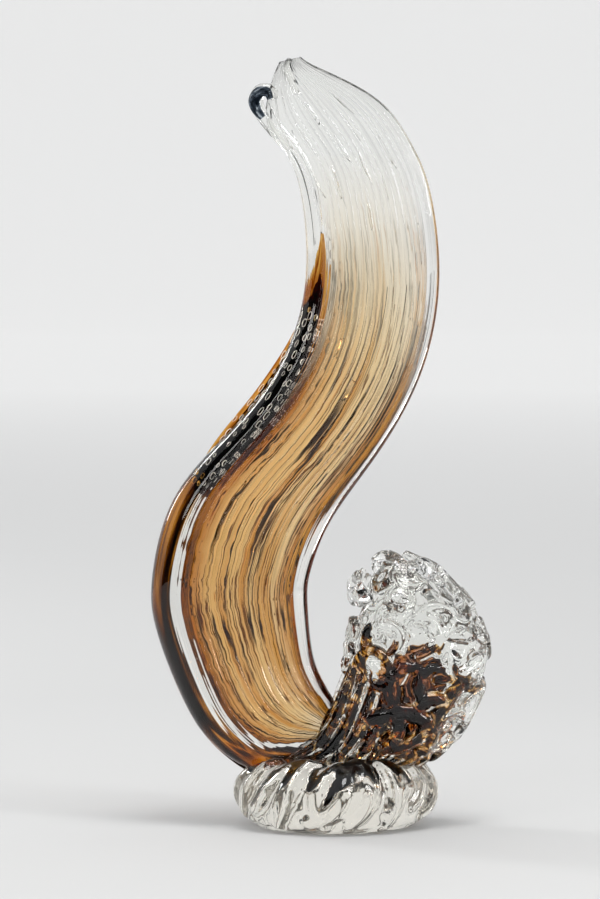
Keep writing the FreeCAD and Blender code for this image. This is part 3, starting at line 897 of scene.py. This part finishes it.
# The splash's level sections: the height as a share of its own, the shift of its middle as a share of its width,
# then its width and its depth there as shares of its greatest.
SPLASH_SHARES = (
    (0.00, -0.38, 0.60, 0.56), (0.08, -0.28, 0.84, 0.76), (0.18, -0.17, 0.95, 0.91),
    (0.32, -0.07, 0.98, 0.98), (0.47, 0.00, 0.98, 1.00), (0.62, 0.02, 0.94, 0.96),
    (0.75, -0.01, 0.85, 0.88), (0.86, -0.08, 0.70, 0.76), (0.94, -0.13, 0.50, 0.57),
    (1.00, -0.16, 0.22, 0.26),
)

# The foot's level sections: the height and the girth, as shares of its greatest.
FOOT_SHARES = (
    (0.00, 0.82), (0.12, 0.93), (0.36, 1.00), (0.64, 0.99),
    (0.84, 0.90), (0.95, 0.79), (1.00, 0.64),
)


@dataclass
class Thread:
    """A thread of glass trailed over a rounded mass."""

    direction: float
    height_share: float
    heading: float
    length: float
    radius: float
    wind: Wind
    curl: float


def placed_threads(rows: Sequence[Sequence]) -> list[Thread]:
    """Threads placed one by one, from rows of degrees, shares and millimetres in the order of a thread's values."""
    return [Thread(math.radians(direction), height, math.radians(heading), length * MM, radius * MM, wind, curl)
            for direction, height, heading, length, radius, wind, curl in rows]


@dataclass
class Mass:
    """A rounded mass of glass that threads are trailed over."""

    base: float
    height: float

    def level(self, height_share: float) -> tuple[Vector, float, float]:
        """The middle and the two half widths at a height."""
        raise NotImplementedError

    def surface(self, direction: float, height_share: float) -> Vector:
        """A point of the skin, by its direction in radians and its height."""
        centre, half_x, half_y = self.level(min(max(height_share, 0.0), 1.0))
        return centre + Vector((half_x * math.cos(direction), half_y * math.sin(direction), 0.0))

    def outward(self, direction: float, height_share: float) -> Vector:
        """The way straight out of the skin."""
        step = 0.02
        up = self.surface(direction, height_share + step) - self.surface(direction, height_share - step)
        aside = self.surface(direction + step, height_share) - self.surface(direction - step, height_share)
        return aside.cross(up).normalized()

    def build_body(self, name: str, low: float, high: float, inset: float, ripple: float) -> Piece:
        """The mass itself, between two heights and sunk by an inset."""
        def place(u: float, v: float) -> Vector:
            """A point of the skin."""
            height_share = low + (high - low) * v
            direction = FULL_TURN * u
            point = self.surface(direction, height_share)
            bump = ripple * noise.noise(point / (12 * MM))
            rounding = math.sin(math.pi * min(max(v, 0.02), 0.98)) ** 0.35
            centre = self.level(min(max(height_share, 0.0), 1.0))[0]
            shrink = 1.0 - (1.0 - rounding) * (1.0 if inset > 0.0 else 0.0)
            return centre + (point - centre) * shrink + self.outward(direction, height_share) * (bump - inset * shrink)

        return wrap_grid(name, 72, 60, place)

    def build_thread(self, name: str, thread: Thread, girth: float, lift: float) -> Piece:
        """A thread that hugs the skin.

        Args:
            name: The piece's name.
            thread: Where and how it winds.
            girth: Its radius as a share of the thread's own.
            lift: How far its middle lies outside the skin, as a share of its radius.

        Returns:
            The piece.
        """
        steps = 30
        direction, height_share, heading = thread.direction, thread.height_share, thread.heading
        centres, ups, radii = [], [], []
        for step in range(steps + 1):
            s = step / steps
            out = self.outward(direction, height_share)
            radius = thread.radius * girth * (0.45 + 0.55 * math.sin(math.pi * (0.12 + 0.76 * s)))
            centres.append(self.surface(direction, height_share) + out * (thread.radius * lift))
            ups.append(out)
            radii.append(radius)
            bend = math.cos(math.pi * s) if thread.wind is Wind.SERPENT else HALF + 1.3 * s
            heading += thread.curl * bend / steps
            _, half_x, half_y = self.level(min(max(height_share, 0.0), 1.0))
            stride = thread.length / steps
            direction += stride * math.cos(heading) / max(HALF * (half_x + half_y), 8 * MM)
            height_share = min(max(height_share + stride * math.sin(heading) / self.height, 0.02), 0.99)
        return trail(name, centres, ups, radii, sides=12)


# The threads seen on the splash's front: direction in degrees, height share, heading in degrees, length and
# radius in millimetres, how it winds and how far it turns.
FRONT_THREADS = (
    (-124, 0.26, 28, 80, 5.2, Wind.HOOK, -2.4),
    (-113, 0.42, 75, 62, 4.2, Wind.HOOK, 4.6),
    (-72, 0.86, 200, 30, 4.0, Wind.HOOK, -3.8),
    (-98, 0.76, 150, 36, 4.4, Wind.HOOK, 4.0),
    (-58, 0.62, 240, 54, 4.6, Wind.HOOK, 3.4),
    (-84, 0.13, 12, 60, 5.0, Wind.SERPENT, 3.4),
    (-142, 0.64, 260, 56, 4.6, Wind.SERPENT, 3.6),
    (-44, 0.32, 70, 56, 4.8, Wind.HOOK, -3.6),
    (-92, 0.55, 10, 50, 4.0, Wind.HOOK, 3.8),
    (-66, 0.20, 100, 46, 4.4, Wind.HOOK, 3.0),
    (-104, 0.08, 30, 56, 4.6, Wind.HOOK, 3.6),
    (-136, 0.18, 60, 50, 4.4, Wind.SERPENT, 3.4),
    (-96, 0.32, 150, 48, 4.2, Wind.HOOK, -3.4),
    (-74, 0.44, 40, 46, 4.2, Wind.SERPENT, -3.6),
    (-52, 0.12, 130, 50, 4.6, Wind.HOOK, -3.2),
    (-118, 0.54, 20, 44, 4.0, Wind.HOOK, 4.2),
)

# The folds that run down from the splash onto the wave's root, in millimetres.
FOLDS = (
    ((14, -20, 112), (7, -24, 92), (0, -25, 72), (-12, -22, 54), (-30, -16, 44)),
    ((20, -25, 104), (13, -28, 84), (6, -28, 66), (-6, -25, 50), (-22, -20, 42)),
    ((27, -29, 96), (20, -31, 76), (12, -31, 60), (2, -28, 47), (-12, -24, 41)),
    ((34, -32, 88), (28, -33, 70), (20, -33, 55), (11, -31, 45), (-1, -27, 40)),
)


@dataclass
class Splash(Mass):
    """The splash: a clear mass of curls with a dark amber heart."""

    base: float = 33 * MM
    height: float = 145 * MM
    width: float = 92 * MM
    depth: float = 76 * MM
    offset: float = 51 * MM
    fold_radius: float = 5.0 * MM
    core_share: float = 0.42
    sunk: float = 1.5 * MM
    ripple: float = 3.0 * MM
    heart_base: float = 0.08
    heart_top: float = 0.60
    heart_inset: float = 23 * MM
    swirl_top: float = 0.50
    swirl_side: float = 0.60
    swirl_girth: float = 0.62
    swirl_lift: float = -0.30
    voxel: float = 1.25 * MM

    def level(self, height_share: float) -> tuple[Vector, float, float]:
        """The middle and the two half widths at a height."""
        shift, width_share, depth_share = blend_keyed(SPLASH_SHARES, height_share)
        centre = Vector((self.offset + shift * self.width, 0.0, self.base + height_share * self.height))
        return centre, HALF * width_share * self.width, HALF * depth_share * self.depth

    def threads(self, rng: random.Random) -> list[Thread]:
        """Where the threads are trailed, all round and from bottom to top."""
        found = []
        levels = ((0.10, 8), (0.24, 9), (0.38, 9), (0.52, 9), (0.66, 10), (0.79, 10), (0.89, 9), (0.96, 5))
        for height_share, count in levels:
            start = rng.uniform(0.0, FULL_TURN)
            for index in range(count):
                found.append(Thread(
                    direction=start + FULL_TURN * (index + rng.uniform(-0.3, 0.3)) / count,
                    height_share=height_share + rng.uniform(-0.05, 0.05),
                    heading=rng.uniform(0.0, FULL_TURN),
                    length=rng.uniform(34, 60) * (1.0 - 0.4 * height_share) * MM,
                    radius=rng.uniform(3.2, 4.8) * MM,
                    wind=rng.choice((Wind.HOOK, Wind.HOOK, Wind.SERPENT)),
                    curl=rng.choice((-1.0, 1.0)) * rng.uniform(3.2, 5.2),
                ))
        return found

    def build(self, rng: random.Random) -> None:
        """Build and dress the splash."""
        threads = placed_threads(FRONT_THREADS) + self.threads(rng)
        clear = [self.build_body("splash_glass", 0.0, 1.0, self.sunk, self.ripple)]
        clear += [self.build_thread(f"curl_{index}", thread, 1.0, 0.0) for index, thread in enumerate(threads)]
        dark = [self.build_body("splash_dark", self.heart_base, self.heart_top, self.heart_inset, self.ripple)]
        for index, thread in enumerate(threads):
            if thread.height_share < self.swirl_top and math.cos(thread.direction) < self.swirl_side:
                dark.append(self.build_thread(f"swirl_{index}", thread, self.swirl_girth, self.swirl_lift))
        for index, points in enumerate(FOLDS):
            back = [(x, -y, z) for x, y, z in points]
            clear.append(hand_drawn(f"fold_{index}", points, self.fold_radius))
            clear.append(hand_drawn(f"back_fold_{index}", back, self.fold_radius))
            dark.append(hand_drawn(f"fold_core_{index}", points, self.fold_radius * self.core_share))
        dress(melt("splash_glass", clear, self.voxel, 3), SPLASH_GLASS.build(), Slot.CLEAR,
              "splash_body", "crown_curls", "front_curls", "back_curls", "side_beads")
        dress(melt("splash_dark", dark, self.voxel, 2), SPLASH_DARK.build(), Slot.DARK, "splash_heart")


# The folds seen on the foot's front, in the same form as the splash's threads.
FOOT_FOLDS = (
    (-132, 0.10, 48, 70, 7.6, Wind.HOOK, 1.4),
    (-97, 0.08, 118, 52, 7.0, Wind.HOOK, -1.8),
    (-84, 0.12, 40, 62, 7.4, Wind.HOOK, 1.8),
    (-58, 0.10, 52, 58, 7.4, Wind.SERPENT, 1.8),
    (-150, 0.30, 20, 56, 7.0, Wind.SERPENT, 2.0),
    (-40, 0.36, 30, 50, 6.8, Wind.HOOK, 1.8),
)


@dataclass
class Foot(Mass):
    """The puddled foot, tooled into folded lobes."""

    base: float = 0.0
    height: float = 43 * MM
    radius: float = 62 * MM
    lobe_count: int = 13
    fold_lift: float = -0.30
    lobe_lift: float = -0.36
    ripple: float = 1.2 * MM
    voxel: float = 1.5 * MM

    def level(self, height_share: float) -> tuple[Vector, float, float]:
        """The middle and the two half widths at a height."""
        (girth,) = blend_keyed(FOOT_SHARES, height_share)
        return Vector((0.0, 0.0, self.base + height_share * self.height)), girth * self.radius, girth * self.radius

    def build(self, rng: random.Random) -> None:
        """Build and dress the foot."""
        lumps = [self.build_body("foot_glass", 0.0, 1.0, 0.0, self.ripple)]
        for index, fold in enumerate(placed_threads(FOOT_FOLDS)):
            lumps.append(self.build_thread(f"fold_{index}", fold, 1.0, self.fold_lift))
        for index in range(self.lobe_count):
            thread = Thread(
                direction=FULL_TURN * (index + rng.uniform(-0.2, 0.2)) / self.lobe_count,
                height_share=rng.uniform(0.16, 0.30),
                heading=rng.uniform(0.3, 0.85),
                length=rng.uniform(46, 66) * MM,
                radius=rng.uniform(7.2, 9.6) * MM,
                wind=rng.choice((Wind.HOOK, Wind.SERPENT)),
                curl=rng.uniform(1.2, 2.4),
            )
            lumps.append(self.build_thread(f"lobe_{index}", thread, 1.0, self.lobe_lift))
        foot = melt("foot_glass", lumps, self.voxel, 7)
        for vertex in foot.data.vertices:
            vertex.co.z = max(vertex.co.z, 0.0)
        dress(foot, FOOT_GLASS.build(), Slot.CLEAR, "foot")


@dataclass
class TipBead:
    """The smoke-grey curled bead at the left of the tip."""

    girth: float = 3.7 * MM

    def build(self) -> None:
        """Build and dress the bead."""
        bead = hand_drawn("tip_bead", TIP_BEAD, self.girth, 20, 40)
        dress(bead, SMOKE_GLASS.build(23 * MM, 45 * MM), Slot.SMOKE, "tip_curl")


# The soft boxes: their place and size in metres and their power in watts.
SOFTBOXES = (
    ("left_strip", (-1.5, -1.9, 1.3), (0.30, 1.5), 7.0),
    ("right_strip", (1.9, -1.3, 1.1), (0.30, 1.3), 16.0),
    ("top_box", (0.3, -0.6, 2.6), (1.2, 0.8), 26.0),
    ("back_left_strip", (-1.8, 1.3, 1.2), (0.3, 1.2), 16.0),
)


@dataclass
class Studio:
    """The floor, the backdrop, the lights and the camera."""

    floor_radius: float = 6.6
    cove: float = 1.2
    wall: float = 2.4
    cove_steps: int = 12
    sides: int = 96
    sky_colour: str = "#F2F3F5"
    sky_strength: float = 0.80
    flag_count: int = 8
    flag_reach: float = 5.6
    flag_width: float = 0.32
    flag_height: float = 3.0
    left_flag_width: float = 3.8
    left_flag_height: float = 4.6
    left_flag_turn: float = 222.0
    aim: tuple[float, float, float] = (0.0, 0.0, 0.22)
    camera_place: tuple[float, float, float] = (-23 * MM, -4.0, 0.51)
    camera_pitch: float = 3.8
    lens: float = 248.0
    sensor: float = 36.0
    glass_bounces: int = 28
    clear_bounces: int = 40
    matt_bounces: int = 3

    def build_backdrop(self) -> None:
        """A floor that turns up into a wall all round."""
        profile = [(0.001, 0.0), (1.0, 0.0), (3.0, 0.0), (self.floor_radius, 0.0)]
        for step in range(1, self.cove_steps + 1):
            angle = HALF * math.pi * step / self.cove_steps
            profile.append((self.floor_radius + self.cove * math.sin(angle), self.cove * (1.0 - math.cos(angle))))
        profile.append((self.floor_radius + self.cove, self.cove + self.wall))

        def place(u: float, v: float) -> Vector:
            """A point of the floor or the wall."""
            reach, height = profile[round(v * (len(profile) - 1))]
            return Vector((reach * math.cos(FULL_TURN * u), reach * math.sin(FULL_TURN * u), height))

        stage = wrap_grid("studio_floor", self.sides, len(profile) - 1, place, inside=True)
        stage.data.materials.append(STUDIO_PAINT.build())

    def add_softbox(self, name: str, place: Vector, size: tuple[float, float], watts: float) -> None:
        """A soft rectangular light that faces the sculpture."""
        light = bpy.data.lights.new(name, "AREA")
        light.shape = "RECTANGLE"
        light.size, light.size_y = size
        light.energy = watts
        holder = bpy.data.objects.new(name, light)
        bpy.context.scene.collection.objects.link(holder)
        holder.location = place
        holder.rotation_euler = (Vector(self.aim) - place).to_track_quat("-Z", "Y").to_euler()

    def build_lights(self) -> None:
        """A pale sky and soft boxes all round."""
        world = bpy.data.worlds.new("pale_sky")
        bpy.context.scene.world = world
        world.use_nodes = True
        tree = world.node_tree
        tree.nodes.clear()
        out = add_node(tree, "OutputWorld")
        sky = add_node(tree, "Background", {"Color": linear(self.sky_colour), "Strength": self.sky_strength})
        tree.links.new(sky.outputs["Background"], out.inputs["Surface"])
        for name, place, size, watts in SOFTBOXES:
            self.add_softbox(name, Vector(place), size, watts)

    def build_flags(self) -> None:
        """Dark cards all round, out of the camera's sight, which draw dark edges on clear glass."""
        material = DARK_CARD.build()
        flags = [(FULL_TURN * (index + HALF) / self.flag_count, self.flag_width, self.flag_height)
                 for index in range(self.flag_count)]
        flags.append((math.radians(self.left_flag_turn), self.left_flag_width, self.left_flag_height))
        for index, (angle, width, height) in enumerate(flags):
            start_piece()
            bpy.ops.mesh.primitive_plane_add(size=1.0)
            card = bpy.context.object
            card.name = f"dark_card_{index}"
            out = Vector((math.cos(angle), math.sin(angle), 0.0))
            aside = Vector((-out.y, out.x, 0.0))
            for vertex in card.data.vertices:
                vertex.co = (out * self.flag_reach + aside * (vertex.co.x * width)
                             + Vector((0.0, 0.0, (vertex.co.y + HALF) * height)))
            card.data.materials.append(material)
            card.visible_camera = False

    def build_camera(self) -> None:
        """The camera at the photograph's angle."""
        camera = bpy.data.cameras.new("camera")
        camera.lens = self.lens
        camera.sensor_width = self.sensor
        camera.clip_end = 100.0
        holder = bpy.data.objects.new("camera", camera)
        bpy.context.scene.collection.objects.link(holder)
        holder.location = Vector(self.camera_place)
        holder.rotation_euler = (math.radians(90.0 - self.camera_pitch), 0.0, 0.0)
        bpy.context.scene.camera = holder

    def build(self) -> None:
        """Build the studio."""
        self.build_camera()
        self.build_backdrop()
        self.build_flags()
        self.build_lights()
        scene = bpy.context.scene
        scene.view_settings.view_transform = "Standard"
        scene.cycles.max_bounces = self.glass_bounces
        scene.cycles.transmission_bounces = self.glass_bounces
        scene.cycles.transparent_max_bounces = self.clear_bounces
        scene.cycles.diffuse_bounces = self.matt_bounces


# Drawn glass: ripples 4 mm wide and 150 mm long that run with the flow, 260 mm round and 600 mm along the wave.
CLEAR_GLASS = FurnaceGlass("clear_furnace_glass", ripple_height=0.16 * MM, flow=(65.0, 4.0, 1.0))
# Pressed and tooled clear glass: slow ripples, and a warm tint where it is thick.
FOOT_GLASS = FurnaceGlass("tooled_clear_glass", ripple_size=13 * MM, ripple_height=0.16 * MM,
                          depth_colour="#F2EBDC", density=5.0)
# Trailed clear glass: close ripples that break up what shows through it.
SPLASH_GLASS = FurnaceGlass("trailed_clear_glass", ripple_size=6 * MM, ripple_height=0.2 * MM)
LIP_GLASS = FurnaceGlass("drawn_clear_glass", ripple_size=8 * MM)
# Smoke-grey glass: a dark bead with paler streaks.
SMOKE_GLASS = ColourInGlass(
    "smoke_grey_glass", depth_colour="#66707C", density=90.0, streak_width=4 * MM, streak_length=14 * MM,
    stops=((0.34, "#2A3038"), (0.48, "#7A8490"), (0.56, "#E8ECF0")), swirl=0.8,
)
AMBER_LAYER = AmberVeil()
# Brown glass so dense that it looks black.
BLACK_CANE = ColourInGlass(
    "black_brown_cane_glass", depth_colour="#7A4A28", density=600.0, streak_width=3.0 * MM, streak_length=30 * MM,
    stops=((0.35, "#6A3A16"), (0.60, "#D09A50")), swirl=0.6,
)
# Golden glass round the black cane: warm edges to it.
GOLD_SHEATH = ColourInGlass(
    "golden_sheath_glass", depth_colour="#F4C860", density=105.0, streak_width=4.0 * MM, streak_length=60 * MM,
    stops=((0.35, "#B87A28"), (0.55, "#F4DCA4")), swirl=0.4,
)
# Amber and dark glass twisted together: long marbled bands.
RIM_CANE = ColourInGlass(
    "marbled_amber_cane_glass", depth_colour="#ECC272", density=70.0, streak_width=7.0 * MM,
    streak_length=210 * MM, stops=((0.39, "#2E1C08"), (0.44, "#96702C"), (0.50, "#F4DA98"), (0.55, "#C89A44"),
                                   (0.60, "#4A300E")), swirl=0.7, detail=2.0,
)
# Dark amber glass stirred by the tools: black and golden swirls.
SPLASH_DARK = ColourInGlass(
    "dark_amber_swirl_glass", depth_colour="#DCA850", density=115.0, streak_width=15 * MM,
    streak_length=22 * MM, stops=((0.42, "#1C1004"), (0.47, "#8A5E20"), (0.51, "#F6D890"), (0.58, "#FFFAF0")),
    swirl=2.4, detail=1.5,
)
# Bubbles whose rims carry a painted, glowing highlight.
BUBBLE_SKIN = BubbleSkin()
AIR = TrappedAir()
STUDIO_PAINT = PaleStudio()
DARK_CARD = PaleStudio("matt_dark_card", colour="#262626", glow=0.0)


def main() -> None:
    """Build the studio and every piece of the sculpture."""
    logging.basicConfig(level=logging.INFO, format="%(name)s: %(message)s")
    Studio().build()
    Wave().build(random.Random(11))
    Splash().build(random.Random(23))
    Foot().build(random.Random(5))
    TipBead().build()


if __name__ == "__main__":
    main()
